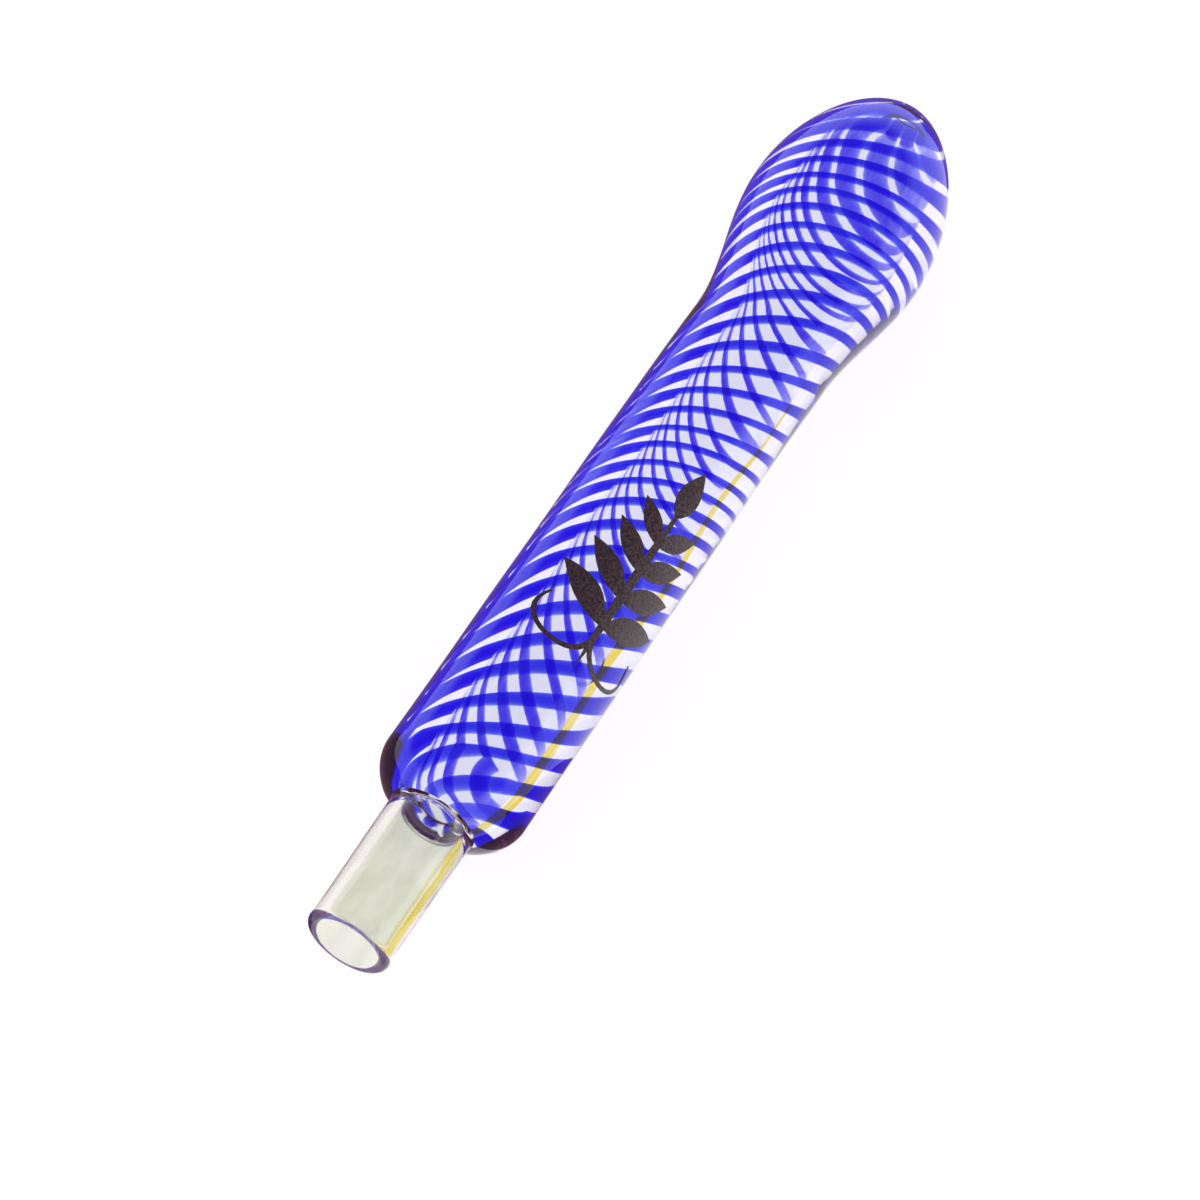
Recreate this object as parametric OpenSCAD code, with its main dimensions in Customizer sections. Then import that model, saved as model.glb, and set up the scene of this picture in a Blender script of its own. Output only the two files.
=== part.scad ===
// Hand-worked glass mouthpiece for a hose: a clear stem, a thick-walled body with twisted
// cobalt threads deep in its wall, and an egg-shaped bulb with the mouth hole at its tip.
// The axis lies along X. The origin is on the axis, where the stem meets the shoulder.

/* [Stem] */
// Length of the clear stem that the hose is pushed on
stem_len = 24; // [16:1:40]
// Outside diameter of the stem
stem_d = 13.6; // [12:0.2:16]
// Diameter of the stem's bore
stem_bore_d = 9.8; // [7:0.2:10.4]

/* [Body] */
// Outside diameter of the straight body
body_d = 24; // [22:0.5:28]
// Distance from the stem to the place where the body starts to swell
body_len = 99.5; // [70:0.5:140]
// Length of the rounded shoulder if it ran on to the axis
shoulder_len = 8.5; // [6:0.5:12]
// Diameter of the bore in the straight body
body_bore_d = 14.8; // [10:0.2:16]
// Diameter of the small hole in the neck
neck_hole_d = 5.4; // [4:0.2:7]
// Length of the straight hole in the neck
neck_hole_len = 1.5; // [1:0.1:3]

/* [Bulb] */
// Largest outside diameter of the bulb
bulb_d = 31.7; // [28:0.1:36]
// Length over which the body swells to the largest diameter
swell_len = 26; // [18:1:36]
// Length from the largest diameter to the tip if it ran on to the axis
tip_len = 27.4; // [22:0.2:34]
// How pointed the tip is: 0.5 is an ellipse
tip_power = 0.58; // [0.5:0.01:0.64]
// Wall thickness at the largest diameter
bulb_wall = 4.6; // [3.5:0.1:5]
// Diameter of the mouth hole
mouth_d = 5.6; // [4.4:0.2:7]
// Length of the straight wall of the mouth hole
mouth_len = 3; // [2:0.5:4]
// Radius of the roll around the mouth hole
mouth_roll_r = 1.1; // [0.8:0.1:1.4]

/* [Threads] */
// How many threads run round the glass
cane_count = 7; // [5:1:9]
// Share of their spacing that the threads fill at the neck
fill_neck = 0.58; // [0.3:0.01:0.9]
// Share of their spacing that the threads fill in the lower body
fill_low = 0.44; // [0.3:0.01:0.7]
// Share of their spacing that the threads fill in the upper body, where they are drawn thin
fill_high = 0.34; // [0.3:0.01:0.7]
// Share of their spacing that the threads fill in the bulb
fill_bulb = 0.38; // [0.3:0.01:0.7]
// Share of their spacing that the threads fill at the tip, where they gather
fill_tip = 0.8; // [0.5:0.01:0.9]
// Greatest thickness of a thread
cane_thick = 0.95; // [0.5:0.05:1.2]
// Where the middle of a thread lies in the wall: 0 is the cavity's side, 1 the outside
cane_depth = 0.15; // [0.15:0.01:0.8]
// Twist all along the glass, in degrees for each millimetre
twist_rate = 8.18; // [3:0.01:9]
// Extra turn of the tight place behind the shoulder, in degrees
neck_twist = 60; // [0:1:80]
// Extra turn of the tight place in the upper body, in degrees
body_twist = 163; // [0:1:200]
// Distance from the stem to the tight place in the upper body
body_twist_at = 70.5; // [50:0.1:90]
// Extra turn of the tight place in the bulb, in degrees
bulb_twist = 195; // [0:1:240]
// Distance from the stem to the tight place in the bulb
bulb_twist_at = 122.5; // [105:0.1:130]
// How far the threads turn back at the tip, in degrees
tip_untwist = 55; // [0:1:80]

/* [Print] */
// Length of the fired sprig along the body
sprig_len = 40; // [30:1:50]
// Distance from the stem to the near end of the sprig
sprig_at = 28; // [12:1:36]
// Direction that the sprig faces, in degrees from straight up
sprig_turn = 40; // [0:5:90]
// Thickness of the enamel
sprig_thick = 0.1; // [0.06:0.01:0.2]

/* [Hidden] */
$fn = 96;
stem_r = stem_d / 2;
stem_bore_r = stem_bore_d / 2;
body_r = body_d / 2;
body_bore_r = body_bore_d / 2;
neck_hole_r = neck_hole_d / 2;
bulb_r = bulb_d / 2;
mouth_r = mouth_d / 2;

// The shoulder is part of an ellipse that starts at the stem's radius
shoulder_end = shoulder_len * sqrt(1 - pow(stem_r / body_r, 2));
bulb_mid = body_len + swell_len;

// The tip runs tangent into the roll of the mouth hole, so its slope there is found by trial
function tip_u(r) = sqrt(1 - pow(r / bulb_r, 1 / tip_power));
function slope_at(u) =
    atan(2 * bulb_r * tip_power * u * pow(1 - u * u, tip_power - 1) / tip_len);
function roll_slope(slope, trials) =
    trials == 0 ? slope
    : roll_slope(slope_at(tip_u(mouth_r + mouth_roll_r * (1 + cos(slope)))), trials - 1);
tip_slope = roll_slope(60, 8);
tip_end_u = tip_u(mouth_r + mouth_roll_r * (1 + cos(tip_slope)));
roll_x = bulb_mid + tip_len * tip_end_u - mouth_roll_r * sin(tip_slope);
roll_r = mouth_r + mouth_roll_r;

// The cavity widens from the neck hole, follows the bulb and closes to the mouth hole
cavity_start = neck_hole_len;
cavity_full = shoulder_end + 2;
cavity_end = roll_x - mouth_len;
cavity_r = bulb_r - bulb_wall;

// How many stretches a curved outline is cut into
curve_steps = 12;

// The threads start past the neck and end short of the mouth roll
cane_start = cavity_start + 0.1;
cane_end = roll_x - 0.4;
cane_pitch_x = 1.2;
cane_sides = 8;

// Where the threads turn more near the neck and turn back near the tip
neck_twist_at = cavity_start + 2.6;
tip_untwist_at = roll_x + 0.1;
// Lengths over which the extra turns come at the neck, body, bulb and tip
neck_twist_len = 4.7;
body_twist_len = 6.9;
bulb_twist_len = 5.7;
tip_untwist_len = 2.5;
// Where the threads' share of their spacing changes, and over which lengths
neck_spread_len = 11;
thin_at = body_twist_at - 34;
thin_len = 25;
bulb_spread_len = 15;
tip_gather_at = bulb_mid - 1;
tip_gather_len = 20;

// The sprig is drawn flat, and laid on the glass from one side
leaf_pairs = 4;
leaf_steps = 10;
tendril_steps = 16;
tendril_w = 1;
tendril_r = sprig_len * 0.115;

// Runs from 0 to 1 with level ends
function ease(u) = let (v = min(max(u, 0), 1)) v * v * (3 - 2 * v);

// Runs from 0 to 1 around a place, over about four lengths
function settle(x, place, length) = 1 / (1 + exp((place - x) / length));

// Outside radius of the glass at a distance from the stem
function outer_r(x) =
    x < shoulder_end ? body_r * sqrt(1 - pow((shoulder_end - x) / shoulder_len, 2))
    : x < body_len ? body_r
    : x < bulb_mid ? body_r + (bulb_r - body_r) * ease((x - body_len) / swell_len)
    : bulb_r * pow(1 - pow((x - bulb_mid) / tip_len, 2), tip_power);

// Radius of the cavity at a distance from the stem
function inner_r(x) =
    x < cavity_full
    ? neck_hole_r + (body_bore_r - neck_hole_r)
      * sqrt(1 - pow((cavity_full - x) / (cavity_full - cavity_start), 2))
    : x < body_len ? body_bore_r
    : x < bulb_mid ? body_bore_r + (cavity_r - body_bore_r) * ease((x - body_len) / swell_len)
    : mouth_r + (cavity_r - mouth_r) * sqrt(1 - pow((x - bulb_mid) / (cavity_end - bulb_mid), 2));

// How far a thread has turned at a distance from the stem, in degrees
function turn(x) = twist_rate * x
    + neck_twist * settle(x, neck_twist_at, neck_twist_len)
    + body_twist * settle(x, body_twist_at, body_twist_len)
    + bulb_twist * settle(x, bulb_twist_at, bulb_twist_len)
    - tip_untwist * settle(x, tip_untwist_at, tip_untwist_len);

// Share of the spacing that a thread fills at a distance from the stem
function fill(x) = fill_low
    + (fill_neck - fill_low) * (1 - ease((x - neck_hole_len) / neck_spread_len))
    + (fill_high - fill_low) * ease((x - thin_at) / thin_len)
    + (fill_bulb - fill_high) * ease((x - body_len) / bulb_spread_len)
    + (fill_tip - fill_bulb) * ease((x - tip_gather_at) / tip_gather_len);

// Points of an outline function between two distances, the first one left out
function run(first, last, steps) =
    [for (i = [1:steps]) first + (last - first) * i / steps];

// Points on an ellipse are spread by angle, so that its steep end stays smooth
function steep_first(first, last, steps) =
    [for (i = [1:steps]) last - (last - first) * cos(90 * i / steps)];
function steep_last(first, last, steps) =
    [for (i = [1:steps]) first + (last - first) * sin(90 * i / steps)];

module along_x() {
    rotate([0, 90, 0]) rotate([0, 0, 90]) children();
}

// Turns an outline of [distance, radius] points about the X axis
module turned(outline) {
    along_x() rotate_extrude() polygon([for (p = outline) [p[1], p[0]]]);
}

module clear_body() {
    roll = [for (a = [90 - tip_slope:-(180 - tip_slope) / curve_steps:-90.01])
        [roll_x + mouth_roll_r * cos(a), roll_r + mouth_roll_r * sin(a)]];
    outside = [for (x = concat(
        run(0, shoulder_end, curve_steps),
        [body_len],
        run(body_len, bulb_mid, curve_steps),
        steep_last(bulb_mid, bulb_mid + tip_len * tip_end_u, curve_steps)))
        [x, outer_r(x)]];
    inside = [for (x = concat(
        steep_first(cavity_start, cavity_full, curve_steps),
        [body_len],
        run(body_len, bulb_mid, curve_steps),
        steep_last(bulb_mid, cavity_end, curve_steps)))
        [x, inner_r(x)]];
    last = len(inside) - 1;
    color("AliceBlue", 0.4)
        turned(concat(
            [[0, neck_hole_r], [0, stem_r]],
            outside,
            roll,
            [for (i = [0:last]) inside[last - i]],
            [[cavity_start, neck_hole_r]]));
}

module stem_tube() {
    wall = stem_r - stem_bore_r;
    roll = [for (a = [90:180 / curve_steps:270])
        [-stem_len + wall / 2 * (1 + cos(a)), stem_bore_r + wall / 2 * (1 + sin(a))]];
    color("Honeydew", 0.4)
        turned(concat([[0, stem_bore_r], [0, stem_r]], roll));
}

// One thread: a ribbon with a flat inner side and a domed outer side, deep in the wall
module cane(i) {
    stations = run(cane_start, cane_end, ceil((cane_end - cane_start) / cane_pitch_x));
    points = [for (x = stations)
        let (
            inside = inner_r(min(max(x, cavity_start), cavity_end)),
            wall = outer_r(x) - inside,
            thick = cane_thick * min(wall / (body_r - body_bore_r), 1),
            base = inside + cane_depth * wall - thick / 2,
            a = turn(x) + 360 * i / cane_count,
            w = 180 / cane_count * fill(x))
        for (j = [0:cane_sides - 1])
            let (
                side = 360 * j / cane_sides,
                p = a - w * cos(side),
                q = base + thick * max(sin(side), 0))
            [x, -q * sin(p), q * cos(p)]];
    last = cane_sides * (len(stations) - 1);
    walls = [for (s = [0:len(stations) - 2]) for (j = [0:cane_sides - 1])
        let (a = cane_sides * s + j, b = cane_sides * s + (j + 1) % cane_sides)
        for (t = [[a, b, b + cane_sides], [a, b + cane_sides, a + cane_sides]]) t];
    near_end = [for (j = [1:cane_sides - 2]) [0, j + 1, j]];
    far_end = [for (j = [1:cane_sides - 2]) [last, last + j, last + j + 1]];
    color("RoyalBlue")
        polyhedron(points, concat(walls, near_end, far_end));
}

// A pointed leaf that lies along X from the origin, widest a little before its middle
module leaf(length, width) {
    edge = [for (i = [0:leaf_steps]) let (u = i / leaf_steps)
        [length * u, width / 2 * sin(180 * pow(u, 0.85))]];
    polygon(concat(edge, [for (i = [leaf_steps - 1:-1:1]) [edge[i][0], -edge[i][1]]]));
}

// Part of a thin ring around the origin, from one angle on to another
module tendril(r, from, sweep) {
    outer = [for (i = [0:tendril_steps]) let (a = from + sweep * i / tendril_steps)
        (r + tendril_w / 2 * (1 - 0.6 * i / tendril_steps)) * [cos(a), sin(a)]];
    inner = [for (i = [tendril_steps:-1:0]) let (a = from + sweep * i / tendril_steps)
        (r - tendril_w / 2 * (1 - 0.6 * i / tendril_steps)) * [cos(a), sin(a)]];
    polygon(concat(outer, inner));
}

// The flat drawing of the sprig, growing along X
module sprig() {
    tip_leaf = sprig_len * 0.24;
    leaf(sprig_len * 0.9, sprig_len * 0.04);
    translate([sprig_len - tip_leaf, 0]) leaf(tip_leaf, tip_leaf * 0.4);
    for (side = [-1, 1]) {
        translate([sprig_len * 0.15, side * tendril_r])
            tendril(tendril_r, -side * 90, -side * 215);
        for (i = [0:leaf_pairs - 1]) {
            translate([sprig_len * (0.2 + 0.14 * i), 0])
                rotate([0, 0, side * (54 - 4 * i)])
                    leaf(sprig_len * (0.29 - 0.03 * i), sprig_len * (0.105 - 0.01 * i));
        }
    }
}

module sprig_print() {
    color("DimGray")
        intersection() {
            along_x() translate([0, 0, sprig_at]) difference() {
                cylinder(h = sprig_len, r = body_r + sprig_thick);
                translate([0, 0, -1]) cylinder(h = sprig_len + 2, r = body_r);
            }
            translate([sprig_at, 0, 0]) rotate([sprig_turn, 0, 0])
                linear_extrude(body_d) sprig();
        }
}

clear_body();
stem_tube();
sprig_print();
for (i = [1:cane_count]) {
    cane(i);
}
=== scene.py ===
"""A hand-worked glass mouthpiece: thick clear glass with twisted cobalt threads deep in its wall.

The axis lies along X and the origin is where the stem meets the shoulder, as in the CAD model.
Lengths below are in millimetres and turned into metres when a mesh is made. Angles round the
axis run from straight up towards -Y. The clear glass, the stem and the threads are pieces of
their own that stand for their CAD nodes. The fired sprig keeps its CAD mesh.
"""

import math

import bpy
import numpy as np
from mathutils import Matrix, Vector


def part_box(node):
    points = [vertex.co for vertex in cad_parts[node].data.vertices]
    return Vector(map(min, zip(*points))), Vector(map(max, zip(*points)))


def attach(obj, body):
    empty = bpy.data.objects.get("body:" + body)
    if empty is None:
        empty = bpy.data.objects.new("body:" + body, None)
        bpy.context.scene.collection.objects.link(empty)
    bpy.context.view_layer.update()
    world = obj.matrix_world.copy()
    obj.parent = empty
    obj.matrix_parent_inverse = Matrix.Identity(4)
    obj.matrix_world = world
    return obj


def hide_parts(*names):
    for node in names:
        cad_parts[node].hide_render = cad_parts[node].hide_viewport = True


MM = 0.001

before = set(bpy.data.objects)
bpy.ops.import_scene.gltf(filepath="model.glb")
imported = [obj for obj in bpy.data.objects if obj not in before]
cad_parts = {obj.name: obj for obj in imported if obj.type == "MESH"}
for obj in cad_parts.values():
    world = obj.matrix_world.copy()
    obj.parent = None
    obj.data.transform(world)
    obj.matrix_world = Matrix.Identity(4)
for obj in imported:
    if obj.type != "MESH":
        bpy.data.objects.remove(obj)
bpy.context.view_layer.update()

# ---------------------------------------------------------------- dimensions, in millimetres

STEM_LO, STEM_HI = (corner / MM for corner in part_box("stem_tube"))
_, BODY_HI = (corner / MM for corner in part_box("clear_body"))

STEM_LEN = -STEM_LO.x
STEM_R = STEM_HI.z
STEM_BORE_R = 4.9
STEM_DRAWN_IN = 0.2
RIM_FLARE = 0.15
RIM_FLARE_LEN = 3.0
WELD_RISE = 0.22
WELD_LEN = 0.5
WELD_START = -4 * WELD_LEN

BODY_R = 12.0
BODY_BORE_R = 7.4
BODY_LEN = 99.5
SHOULDER_LEN = 8.5
NECK_R = 2.7
NECK_LEN = 1.5

BULB_R = BODY_HI.z
SWELL_LEN = 26.0
TIP_LEN = 27.4
TIP_POWER = 0.58
BULB_WALL = 4.6
MOUTH_R = 2.8
MOUTH_LEN = 3.0
MOUTH_ROLL_R = 1.1
TIP_X = BODY_HI.x
# The cavity has its full width this far past the shoulder
PAST_SHOULDER = 2.0

SHOULDER_END = SHOULDER_LEN * math.sqrt(1 - (STEM_R / BODY_R) ** 2)
BULB_MID = BODY_LEN + SWELL_LEN
ROLL_X = TIP_X - MOUTH_ROLL_R
ROLL_R = MOUTH_R + MOUTH_ROLL_R
# The outline of the tip passes into the roll of the mouth hole here
TIP_OUTLINE_END = ROLL_X + 0.4
BODY_WALL = BODY_R - BODY_BORE_R
CAVITY_START = NECK_LEN
CAVITY_FULL = SHOULDER_END + PAST_SHOULDER
CAVITY_END = ROLL_X - MOUTH_LEN
CAVITY_R = BULB_R - BULB_WALL

# Hand work: the bulb's flank and the bore lie off the axis towards LEAN_ANGLE, and the tip lies
# off it the other way
LEAN_ANGLE = math.radians(109.5)
FLANK_LEAN = 0.25
FLANK_LEAN_AT = BODY_LEN + 5
FLANK_LEAN_LEN = 12.0
TIP_LEAN = 1.0
TIP_LEAN_START = BODY_LEN + 12
TIP_LEAN_LEN = 40.0
BORE_SHIFT = 0.6
BORE_SHIFT_LEN = 12.0
BULB_SHIFT_LOST = 0.8

# Waves in the glass: the stem has none, and they fade over CALM_LEN at the shoulder and the mouth
OUTER_RIPPLE = 0.025
CAVITY_RIPPLE = 0.08
CALM_START = 1.0
CALM_LEN = 8.0
# Waves around the axis, and the ranges of radians along each mm and of the share of the size
RIPPLES_AROUND = np.array([1, 2, 2, 3, 1, 0, 2])
RIPPLE_ALONG = (0.03, 0.22)
RIPPLE_SHARE = (0.4, 1)

# The middle of a thread lies at about CANE_DEPTH of the wall, counted outwards from the cavity
CANE_COUNT = 7
CANE_DEPTH = 0.15
CANE_THICK = 0.95
CANE_BELLY = 0.12
CANE_START = NECK_LEN + 0.1
CANE_END = ROLL_X + 0.2
CANE_STEP = 0.6
CANE_SIDES = 20
CANE_STRAY = math.radians(2.2)
CANE_SWELL = 0.07

# Share of their spacing that the threads fill, and where it changes
FILL_NECK = 0.58
FILL_LOW = 0.44
FILL_HIGH = 0.34
FILL_BULB = 0.38
FILL_TIP = 0.8
FILL_MOST = 0.97
NECK_SPREAD_LEN = 11.0
THIN_START = 35.0
THIN_LEN = 25.0
BULB_SPREAD_LEN = 15.0
GATHER_START = BULB_MID - 1
GATHER_LEN = 20.0

# Degrees for each millimetre, and degrees at the stem
TWIST_RATE = 8.18
TWIST_START = 4.1
# Extra turn in degrees, its place and the length over which it comes
TIGHT_PLACES = ((60, 4.1, 4.7), (163, 70.5, 6.9), (195, 122.5, 5.7), (-55, 149, 2.5))

# Points round the glass
AROUND = 192

rng = np.random.default_rng(7)


# ---------------------------------------------------------------- the shape of the glass

def ease(u):
    """Runs from 0 to 1 with level ends."""
    u = np.clip(u, 0, 1)
    return u * u * (3 - 2 * u)


def outer_r(x):
    """Outside radius of the glass at distances x from the stem."""
    x = np.asarray(x, float)
    shoulder = BODY_R * np.sqrt(1 - np.clip((SHOULDER_END - x) / SHOULDER_LEN, 0, 1) ** 2)
    swell = (BULB_R - BODY_R) * ease((x - BODY_LEN) / SWELL_LEN)
    tip = np.clip((x - BULB_MID) / TIP_LEN, 0, 1)
    return (shoulder + swell) * (1 - tip**2) ** TIP_POWER + weld_rise(x)


def weld_rise(x):
    """Height of the ring of glass that fills the corner between stem and shoulder."""
    return WELD_RISE * np.exp(-(np.asarray(x, float) / WELD_LEN) ** 2)


def stem_r(x):
    """Outside radius of the stem, drawn in along its length and flared at its rim."""
    x = np.asarray(x, float)
    drawn = STEM_DRAWN_IN * ease(-x / STEM_LEN)
    flare = RIM_FLARE * ease((-x - STEM_LEN + RIM_FLARE_LEN) / RIM_FLARE_LEN)
    return STEM_R - drawn + flare + weld_rise(x)


def cavity_r(x):
    """Radius of the cavity at distances x from the stem."""
    x = np.asarray(x, float)
    neck = np.clip((CAVITY_FULL - x) / (CAVITY_FULL - CAVITY_START), 0, 1)
    tip = np.clip((x - BULB_MID) / (CAVITY_END - BULB_MID), 0, 1)
    start = NECK_R + (BODY_BORE_R - NECK_R) * np.sqrt(1 - neck**2)
    swell = (CAVITY_R - BODY_BORE_R) * ease((x - BODY_LEN) / SWELL_LEN)
    return MOUTH_R + (start + swell - MOUTH_R) * np.sqrt(1 - tip**2)


def lean(x):
    """How far the outside lies off the axis, towards LEAN_ANGLE."""
    x = np.asarray(x, float)
    flank = FLANK_LEAN * np.exp(-((x - FLANK_LEAN_AT) / FLANK_LEAN_LEN) ** 2)
    return flank - TIP_LEAN * ease((x - TIP_LEAN_START) / TIP_LEAN_LEN)


def bore_shift(x):
    """How far the cavity lies off the middle of the outside, towards LEAN_ANGLE."""
    x = np.asarray(x, float)
    body = BORE_SHIFT * ease((x - NECK_LEN) / BORE_SHIFT_LEN)
    return body * (1 - BULB_SHIFT_LOST * ease((x - BODY_LEN) / SWELL_LEN))


def make_ripples(size):
    """Long shallow waves, as rows of size, radians along each mm, waves around and start."""
    count = len(RIPPLES_AROUND)
    along = rng.uniform(*RIPPLE_ALONG, count)
    sizes = size * rng.uniform(*RIPPLE_SHARE, count)
    start = rng.uniform(0, 2 * math.pi, count)
    return np.stack([sizes, along, RIPPLES_AROUND, start], 1)


def rippled(x, angle, ripples):
    """Height of the waves at places on the glass, level near the stem and the mouth."""
    calm = ease((x - CALM_START) / CALM_LEN) * ease((ROLL_X - x) / CALM_LEN)
    return calm * sum(size * np.sin(along * x + around * angle + start)
                      for size, along, around, start in ripples)


OUTER_RIPPLES = make_ripples(OUTER_RIPPLE)
CAVITY_RIPPLES = make_ripples(CAVITY_RIPPLE)


def turn(x):
    """How far the threads have turned at distances x from the stem, in radians."""
    x = np.asarray(x, float)
    tight = sum(extra / (1 + np.exp((at - x) / length)) for extra, at, length in TIGHT_PLACES)
    return np.radians(TWIST_START + TWIST_RATE * x + tight)


def fill(x):
    """Share of their spacing that the threads fill."""
    neck = (FILL_NECK - FILL_LOW) * (1 - ease((x - NECK_LEN) / NECK_SPREAD_LEN))
    drawn = (FILL_HIGH - FILL_LOW) * ease((x - THIN_START) / THIN_LEN)
    bulb = (FILL_BULB - FILL_HIGH) * ease((x - BODY_LEN) / BULB_SPREAD_LEN)
    tip = (FILL_TIP - FILL_BULB) * ease((x - GATHER_START) / GATHER_LEN)
    return FILL_LOW + neck + drawn + bulb + tip


def arc(x, r, across, height, start, end, steps):
    """Points on an ellipse round (x, r), from one angle in degrees to another."""
    a = np.radians(np.linspace(start, end, steps + 1))
    return np.stack([x + across * np.cos(a), r + height * np.sin(a)], 1)


def outline(x, radius):
    """Points along an outline function."""
    return np.stack([x, radius(x)], 1)


def spread(first, last, steps, ends=(False, False)):
    """Distances from first to last, closer together at the ends that are steep."""
    u = np.linspace(0, 1, steps + 1)
    if ends[0]:
        u = 1 - np.cos(u * math.pi / 2)
    if ends[1]:
        u = np.sin(u * math.pi / 2)
    return first + (last - first) * u


# ---------------------------------------------------------------- mesh helpers

def new_piece(name, points, faces, material, replaces):
    """Makes a smooth mesh from points in millimetres that stands for CAD nodes."""
    mesh = bpy.data.meshes.new(name)
    mesh.from_pydata([tuple(p) for p in np.asarray(points) * MM], [], faces)
    mesh.update()
    mesh.shade_smooth()
    mesh.materials.append(material)
    piece = bpy.data.objects.new(name, mesh)
    bpy.context.scene.collection.objects.link(piece)
    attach(piece, "root")
    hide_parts(*replaces)


def round_grid(rows, columns):
    """Faces between rows of points, with the columns closed into a ring."""
    faces = []
    for i in range(rows - 1):
        for j in range(columns):
            a, b = i * columns, (i + 1) * columns
            k = (j + 1) % columns
            faces.append((a + j, a + k, b + k, b + j))
    return faces


def on_axis(x, r, angle, shift):
    """Points at distance x, radius r and an angle, with the middle moved by shift."""
    return np.stack([x, -r * np.sin(angle) - shift * math.sin(LEAN_ANGLE),
                     r * np.cos(angle) + shift * math.cos(LEAN_ANGLE)], -1)


def turned(outside, inside):
    """Points of two outlines turned about the axis, row by row: outside first, then inside."""
    rows = []
    around = np.linspace(0, 2 * math.pi, AROUND, endpoint=False)[None]
    for section, ripples, shift in ((outside, OUTER_RIPPLES, 0), (inside, CAVITY_RIPPLES, 1)):
        x, angle = np.broadcast_arrays(section[:, :1], around)
        r = section[:, 1:] + rippled(x, angle, ripples)
        rows.append(on_axis(x, r, angle, lean(x) + shift * bore_shift(x)))
    return np.concatenate(rows).reshape(-1, 3)


# ---------------------------------------------------------------- materials

GLASS_IOR = 1.5
# Painted glow of each glass surface, which is no lamp: too faint to see once, it adds up where
# light goes round in the glass
PAINTED_GLOW = 0.009
COBALT_DENSITY = 3000.0
GRAIN_RANGE = (0.3, 0.7)


def surface(material):
    """The sockets of a material's Principled node."""
    return material.node_tree.nodes["Principled BSDF"].inputs


def shader(name, **values):
    """A material with one Principled node, its plain values set on the node itself."""
    material = bpy.data.materials.new(name)
    material.use_nodes = True
    for key, value in values.items():
        surface(material)[key.replace("_", " ")].default_value = value
    return material


def grain(material, stretch, detail=3.0):
    """Noise over the object, with its size set by features per metre along X, Y and Z."""
    nodes, links = material.node_tree.nodes, material.node_tree.links
    place = nodes.new("ShaderNodeTexCoord")
    scaled = nodes.new("ShaderNodeMapping")
    scaled.inputs["Scale"].default_value = stretch
    noise = nodes.new("ShaderNodeTexNoise")
    noise.inputs["Scale"].default_value = 1.0
    noise.inputs["Detail"].default_value = detail
    links.new(place.outputs["Object"], scaled.inputs["Vector"])
    links.new(scaled.outputs["Vector"], noise.inputs["Vector"])
    return noise.outputs["Fac"]


def paint(material, fac, stops):
    """Colours the base along a ramp between two (position, colour) stops. Returns the colour."""
    nodes, links = material.node_tree.nodes, material.node_tree.links
    ramp = nodes.new("ShaderNodeValToRGB")
    first, last = ramp.color_ramp.elements
    (first.position, low), (last.position, high) = stops
    first.color, last.color = (*low, 1), (*high, 1)
    links.new(fac, ramp.inputs["Fac"])
    links.new(ramp.outputs["Color"], surface(material)["Base Color"])
    return ramp.outputs["Color"]


def gloss(material, fac, low, high):
    """Lets the roughness run from low to high with the noise, which mostly lies in GRAIN_RANGE."""
    nodes, links = material.node_tree.nodes, material.node_tree.links
    scale = nodes.new("ShaderNodeMapRange")
    scale.inputs["From Min"].default_value = GRAIN_RANGE[0]
    scale.inputs["From Max"].default_value = GRAIN_RANGE[1]
    scale.inputs["To Min"].default_value = low
    scale.inputs["To Max"].default_value = high
    links.new(fac, scale.inputs["Value"])
    links.new(scale.outputs["Result"], surface(material)["Roughness"])


def dimple(material, fac, depth, strength):
    """Raises the surface by the noise, to a depth in millimetres."""
    nodes, links = material.node_tree.nodes, material.node_tree.links
    bump = nodes.new("ShaderNodeBump")
    bump.inputs["Distance"].default_value = depth * MM
    bump.inputs["Strength"].default_value = strength
    links.new(fac, bump.inputs["Height"])
    links.new(bump.outputs["Normal"], surface(material)["Normal"])


def clear_glass():
    """Flame-worked clear glass: a lavender cast, long drawn waves and a slightly uneven polish."""
    # The clear glass gives off a faint pink painted glow
    material = shader("clear_glass", IOR=GLASS_IOR, Transmission_Weight=1.0,
                      Emission_Color=(1.0, 0.18, 0.5, 1), Emission_Strength=PAINTED_GLOW)
    drawn = grain(material, (60, 260, 260))
    paint(material, drawn, ((0.3, (0.86, 0.895, 0.97)), (0.7, (0.905, 0.94, 0.985))))
    gloss(material, drawn, 0.0, 0.012)
    dimple(material, drawn, 0.05, 0.3)
    return material


def stem_glass():
    """Ground and reheated tube: a grey-green cast and a faint frost with fine pits."""
    # The stem gives off a faint violet painted glow
    material = shader("stem_glass", IOR=GLASS_IOR, Transmission_Weight=1.0,
                      Emission_Color=(0.7, 0.2, 1.0, 1), Emission_Strength=PAINTED_GLOW)
    cloud = grain(material, (150, 300, 300))
    paint(material, cloud, ((0.4, (0.79, 0.84, 0.72)), (0.6, (0.89, 0.915, 0.83))))
    gloss(material, grain(material, (900, 1500, 1500)), 0.02, 0.12)
    dimple(material, cloud, 0.08, 0.4)
    return material


def cobalt_glass():
    """Cobalt colour held in the depth of the thread, with streaks drawn out along it.

    The thread lies inside the clear glass, so its own surface doesn't bend the light.
    """
    material = shader("cobalt_glass", Roughness=0.0, IOR=1.0, Transmission_Weight=1.0)
    paint(material, grain(material, (300, 900, 900)),
          ((0.35, (0.5, 0.62, 0.98)), (0.65, (0.9, 0.95, 1.0))))
    tree = material.node_tree
    depth = tree.nodes.new("ShaderNodeVolumeAbsorption")
    depth.inputs["Color"].default_value = (0.0, 0.07, 0.95, 1)
    depth.inputs["Density"].default_value = COBALT_DENSITY
    tree.links.new(depth.outputs[0], tree.nodes["Material Output"].inputs["Volume"])
    return material


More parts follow.
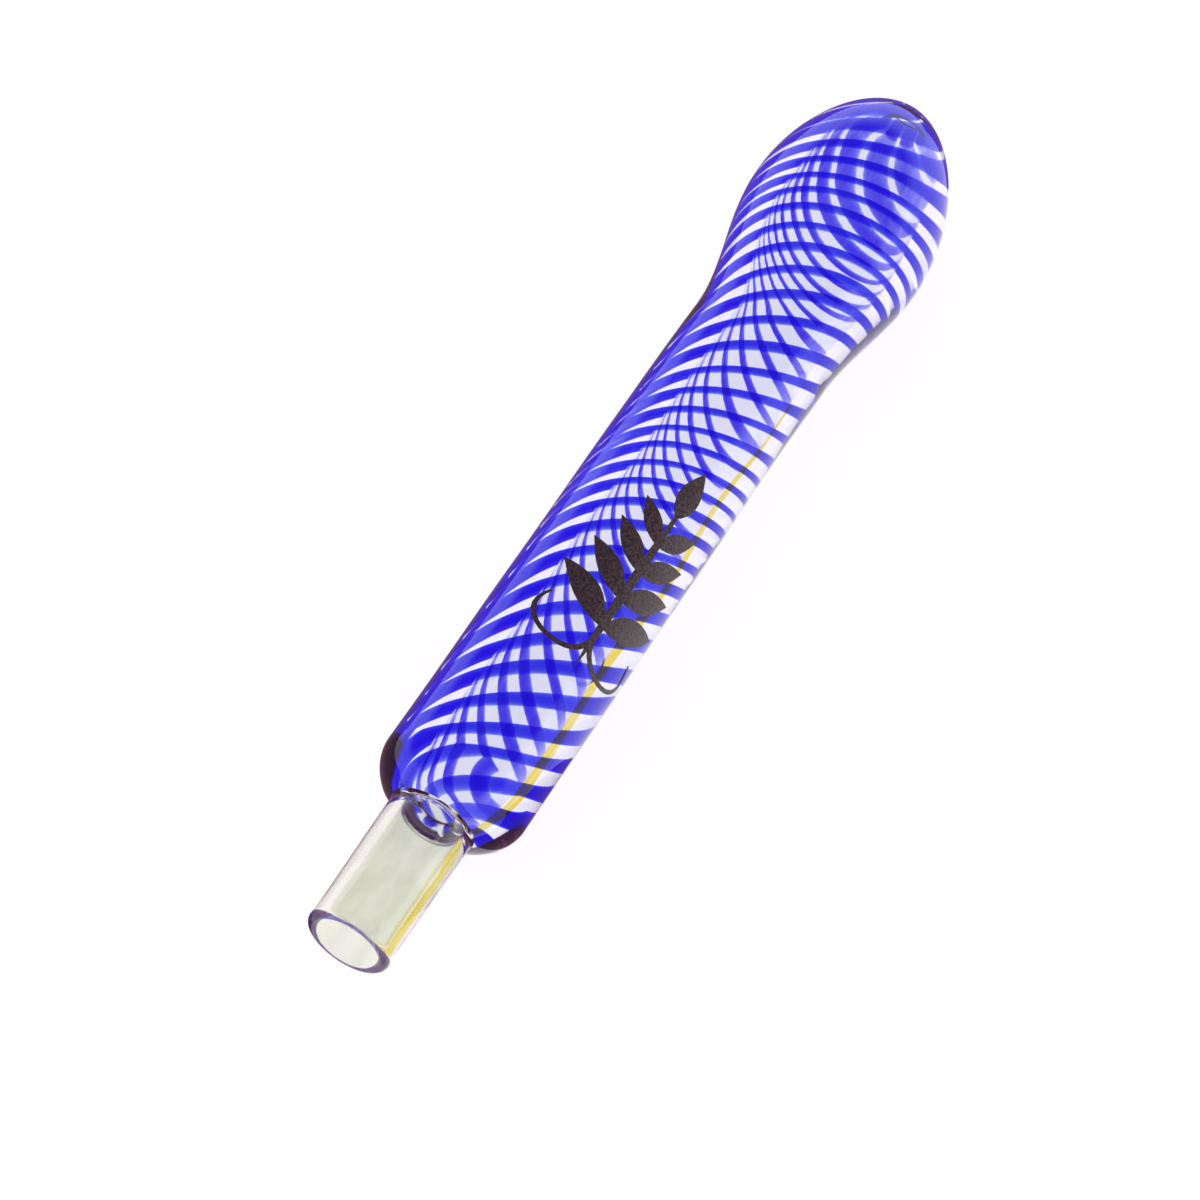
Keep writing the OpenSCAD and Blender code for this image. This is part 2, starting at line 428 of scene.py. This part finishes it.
def enamel():
    """Fired screen print: dark brown with worn specks and a grainy, half-dull surface."""
    material = shader("enamel")
    speck = grain(material, (2500, 2500, 2500), 4.0)
    paint(material, speck, ((0.35, (0.048, 0.035, 0.034)), (0.7, (0.19, 0.16, 0.17))))
    gloss(material, speck, 0.35, 0.6)
    dimple(material, speck, 0.05, 0.6)
    return material


GLASS = clear_glass()
STEM_GLASS = stem_glass()
COBALT = cobalt_glass()
ENAMEL = enamel()


# ---------------------------------------------------------------- the object

def make_body():
    """The clear glass: the outside, the roll of the mouth hole, the cavity and the neck."""
    outside = np.concatenate([
        outline(spread(0, SHOULDER_END, steps=32), outer_r),
        outline(spread(SHOULDER_END, BODY_LEN, steps=90)[1:], outer_r),
        outline(spread(BODY_LEN, BULB_MID, steps=40)[1:], outer_r),
        outline(spread(BULB_MID, TIP_OUTLINE_END, steps=40, ends=(False, True))[1:], outer_r),
        arc(ROLL_X, ROLL_R, MOUTH_ROLL_R, MOUTH_ROLL_R, start=30, end=-90, steps=14)[1:],
    ])
    inside = np.concatenate([
        outline(spread(CAVITY_END, BULB_MID, steps=40, ends=(True, False)), cavity_r),
        outline(spread(BULB_MID, BODY_LEN, steps=40)[1:], cavity_r),
        outline(spread(BODY_LEN, CAVITY_FULL, steps=90)[1:], cavity_r),
        outline(spread(CAVITY_FULL, CAVITY_START, steps=24, ends=(False, True))[1:], cavity_r),
        arc(NECK_LEN, STEM_BORE_R, NECK_LEN, STEM_BORE_R - NECK_R,
            start=-90, end=-180, steps=10)[1:],
    ])
    rows = len(outside) + len(inside)
    new_piece("body_glass", turned(outside, inside), round_grid(rows, AROUND), GLASS,
              ["clear_body"])


def make_stem():
    """The stem: its bore, its rolled rim and its outside, open at 0 where the body goes on."""
    wall = float(stem_r(-STEM_LEN)) - STEM_BORE_R
    rim = -STEM_LEN + wall / 2
    bore = outline(spread(0, rim, steps=20), lambda x: np.full_like(x, STEM_BORE_R))
    outside = np.concatenate([
        arc(rim, STEM_BORE_R + wall / 2, wall / 2, wall / 2, start=270, end=90, steps=16)[1:],
        outline(spread(rim, WELD_START, steps=24)[1:], stem_r),
        outline(spread(WELD_START, 0, steps=12)[1:], stem_r),
    ])
    rows = len(bore) + len(outside)
    new_piece("stem_glass", turned(bore, outside), round_grid(rows, AROUND), STEM_GLASS,
              ["stem_tube"])


def waves(x, ripples):
    """The sum of the waves at distances x, for a value that has no angle."""
    return sum(size * np.sin(along * x + start) for size, along, _, start in ripples)


def make_cane(i):
    """One thread deep in the wall: flat on its inner side, domed outwards, and a little uneven."""
    x = np.arange(CANE_START, CANE_END, CANE_STEP)
    stray = make_ripples(1.0)
    swell = make_ripples(1.0)
    middle = turn(x) + 2 * math.pi * i / CANE_COUNT + CANE_STRAY / 2 * waves(x, stray)
    share = np.minimum(fill(x) * (1 + CANE_SWELL * waves(x, swell)), FILL_MOST)
    side = np.linspace(0, 2 * math.pi, CANE_SIDES, endpoint=False)[None]
    angle = middle[:, None] - (math.pi / CANE_COUNT * share)[:, None] * np.cos(side)
    dome = np.where(np.sin(side) > 0, 1, CANE_BELLY) * np.sin(side)
    x, angle = np.broadcast_arrays(x[:, None], angle)
    wall = outer_r(x) - cavity_r(np.clip(x, CAVITY_START, CAVITY_END))
    thick = CANE_THICK * np.minimum(wall / BODY_WALL, 1)
    radius = outer_r(x) - wall * (1 - CANE_DEPTH) + thick * (dome - 0.5)
    radius = radius + rippled(x, angle, CAVITY_RIPPLES)
    points = on_axis(x, radius, angle, lean(x) + bore_shift(x)).reshape(-1, 3)
    faces = round_grid(len(x), CANE_SIDES)
    faces.append(tuple(reversed(range(CANE_SIDES))))
    faces.append(tuple(range(len(points) - CANE_SIDES, len(points))))
    new_piece(f"thread_{i}", points, faces, COBALT, [f"cane_{i}"])


make_body()
make_stem()
for number in range(1, CANE_COUNT + 1):
    make_cane(number)
sprig_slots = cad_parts["sprig_print"].data.materials
sprig_slots.clear()
sprig_slots.append(ENAMEL)


# ---------------------------------------------------------------- floor, light and camera

FLOOR_SIZE = 6.0
FLOOR_SLOPE = math.atan((BULB_R - BODY_R) / (BULB_MID - SHOULDER_END))


def floor_z(x):
    """Height of the floor, which the bulb and the shoulder both rest on."""
    return -BULB_R + (BULB_MID - x) * math.tan(FLOOR_SLOPE)


def make_floor():
    """A wide pale floor that gives off light, so that it stays white behind the glass."""
    bpy.ops.mesh.primitive_plane_add(size=FLOOR_SIZE)
    floor = bpy.context.object
    floor.name = "floor"
    floor.location = (BULB_MID * MM, 0, -BULB_R * MM)
    floor.rotation_euler = (0, FLOOR_SLOPE, 0)
    material = shader("floor", Base_Color=(0.8, 0.8, 0.8, 1), Roughness=0.9,
                      Emission_Color=(1, 1, 1, 1), Emission_Strength=0.85)
    floor.data.materials.append(material)


# The cards lie just above the floor. Each row is a distance along the axis and the card's two
# sides at that distance
CARD_RISE = 0.3
# The glowing warm card that paints a yellow streak of light in the glass
WARM_CARD = ((-30, -5, -15), (1, -6, -16), (8, -15, -26), (62, -19, -32), (105, -26, -32))
# The dark, faintly glowing cards of painted shade, seen only in reflections on the glass
LEFT_CARD = ((-30, 9, 60), (0, 13, 100), (90, 17, 120), (BULB_MID, 23, 120),
             (TIP_X - 4, 14, 120), (TIP_X + 8, -14, 120), (TIP_X + 90, -14, 120))
SHOULDER_CARD = ((-8, -60, -8), (26, -60, -12))


def make_card(name, sections, material):
    """A card on the floor that only shows in the glass."""
    points = [(x * MM, y * MM, (floor_z(x) + CARD_RISE) * MM)
              for x, *sides in sections for y in sides]
    faces = [(2 * i, 2 * i + 2, 2 * i + 3, 2 * i + 1) for i in range(len(sections) - 1)]
    mesh = bpy.data.meshes.new(name)
    mesh.from_pydata(points, [], faces)
    mesh.materials.append(material)
    card = bpy.data.objects.new(name, mesh)
    bpy.context.scene.collection.objects.link(card)
    card.visible_camera = False
    card.visible_diffuse = False
    card.visible_shadow = False
    return card


def make_cards():
    """A glowing warm card that the glass refracts into a painted yellow streak of light, and dark,
    faintly glowing cards of painted shade whose reflections draw its edges.
    """
    # Painted streak of light: the warm card glows, and it is hidden from the camera, from lit
    # surfaces and from reflections, so it shows only through the glass
    warm_glow = shader("warm_glow_card", Roughness=0.9, Emission_Strength=0.72)
    colour = paint(warm_glow, grain(warm_glow, (70, 300, 300)),
                   ((0.42, (0.92, 0.74, 0.0)), (0.66, (1.0, 0.92, 0.3))))
    warm_glow.node_tree.links.new(colour, surface(warm_glow)["Emission Color"])
    make_card("warm_glow_card", WARM_CARD, warm_glow).visible_glossy = False
    # Painted shade: dark cards that glow faintly purple-brown, hidden from the camera, from lit
    # surfaces and from light through the glass, so that they show only as reflections that draw
    # the glass's dark edges
    painted_shade = shader("painted_shade_card", Base_Color=(0.02, 0.01, 0.015, 1), Roughness=0.9,
                  Emission_Color=(0.24, 0.13, 0.17, 1), Emission_Strength=1.0)
    make_card("left_card", LEFT_CARD, painted_shade).visible_transmission = False
    make_card("shoulder_card", SHOULDER_CARD, painted_shade).visible_transmission = False


# Height above the horizon as the sine of the angle, and the colour of the room there
ROOM = ((0.0, (1.0, 1.0, 1.0)), (0.17, (1.0, 1.0, 1.0)), (0.34, (0.26, 0.12, 0.17)),
        (0.75, (0.16, 0.07, 0.11)), (1.0, (0.36, 0.32, 0.38)))


def make_room():
    """Light from all round: white at the horizon, dim and purple-brown above it."""
    world = bpy.data.worlds.new("studio")
    world.use_nodes = True
    tree = world.node_tree
    place = tree.nodes.new("ShaderNodeTexCoord")
    split = tree.nodes.new("ShaderNodeSeparateXYZ")
    ramp = tree.nodes.new("ShaderNodeValToRGB")
    stops = ramp.color_ramp.elements
    for _ in ROOM[2:]:
        stops.new(0.5)
    # A stop that moves can change the order, so the colours come when all stops are in place
    for i, (height, _) in enumerate(ROOM):
        stops[i].position = height
    for i, (_, colour) in enumerate(ROOM):
        stops[i].color = (*colour, 1)
    tree.links.new(place.outputs["Generated"], split.inputs[0])
    tree.links.new(split.outputs["Z"], ramp.inputs["Fac"])
    tree.links.new(ramp.outputs["Color"], tree.nodes["Background"].inputs["Color"])
    bpy.context.scene.world = world


CAMERA_ELEVATION = 53.9
CAMERA_AZIMUTH = -61.52
CAMERA_DISTANCE = 710.0
LENS = 140.7
SENSOR_WIDTH = 36.0
# The camera stands opposite this place on the axis, and aims a little to the side of it
AIM_X = 63.5
AIM_RIGHT = -6.73
AIM_UP = -13.54


def make_camera():
    """The camera, placed by its angles and its distance from the axis."""
    a, e = math.radians(CAMERA_AZIMUTH), math.radians(CAMERA_ELEVATION)
    back = Vector((math.sin(a) * math.cos(e), -math.cos(a) * math.cos(e), math.sin(e)))
    right = Vector((math.cos(a), math.sin(a), 0))
    up = back.cross(right)
    middle = Vector((AIM_X, 0, 0))
    camera = bpy.data.objects.new("camera", bpy.data.cameras.new("camera"))
    camera.data.lens = LENS
    camera.data.sensor_width = SENSOR_WIDTH
    camera.location = (middle + back * CAMERA_DISTANCE) * MM
    aim = (middle + right * AIM_RIGHT + up * AIM_UP) * MM
    camera.rotation_euler = (aim - camera.location).to_track_quat("-Z", "Y").to_euler()
    bpy.context.scene.collection.objects.link(camera)
    bpy.context.scene.camera = camera


make_floor()
make_cards()
make_room()
make_camera()

scene = bpy.context.scene
scene.view_settings.view_transform = "Standard"
scene.cycles.max_bounces = 24
scene.cycles.transmission_bounces = 24
scene.cycles.glossy_bounces = 16
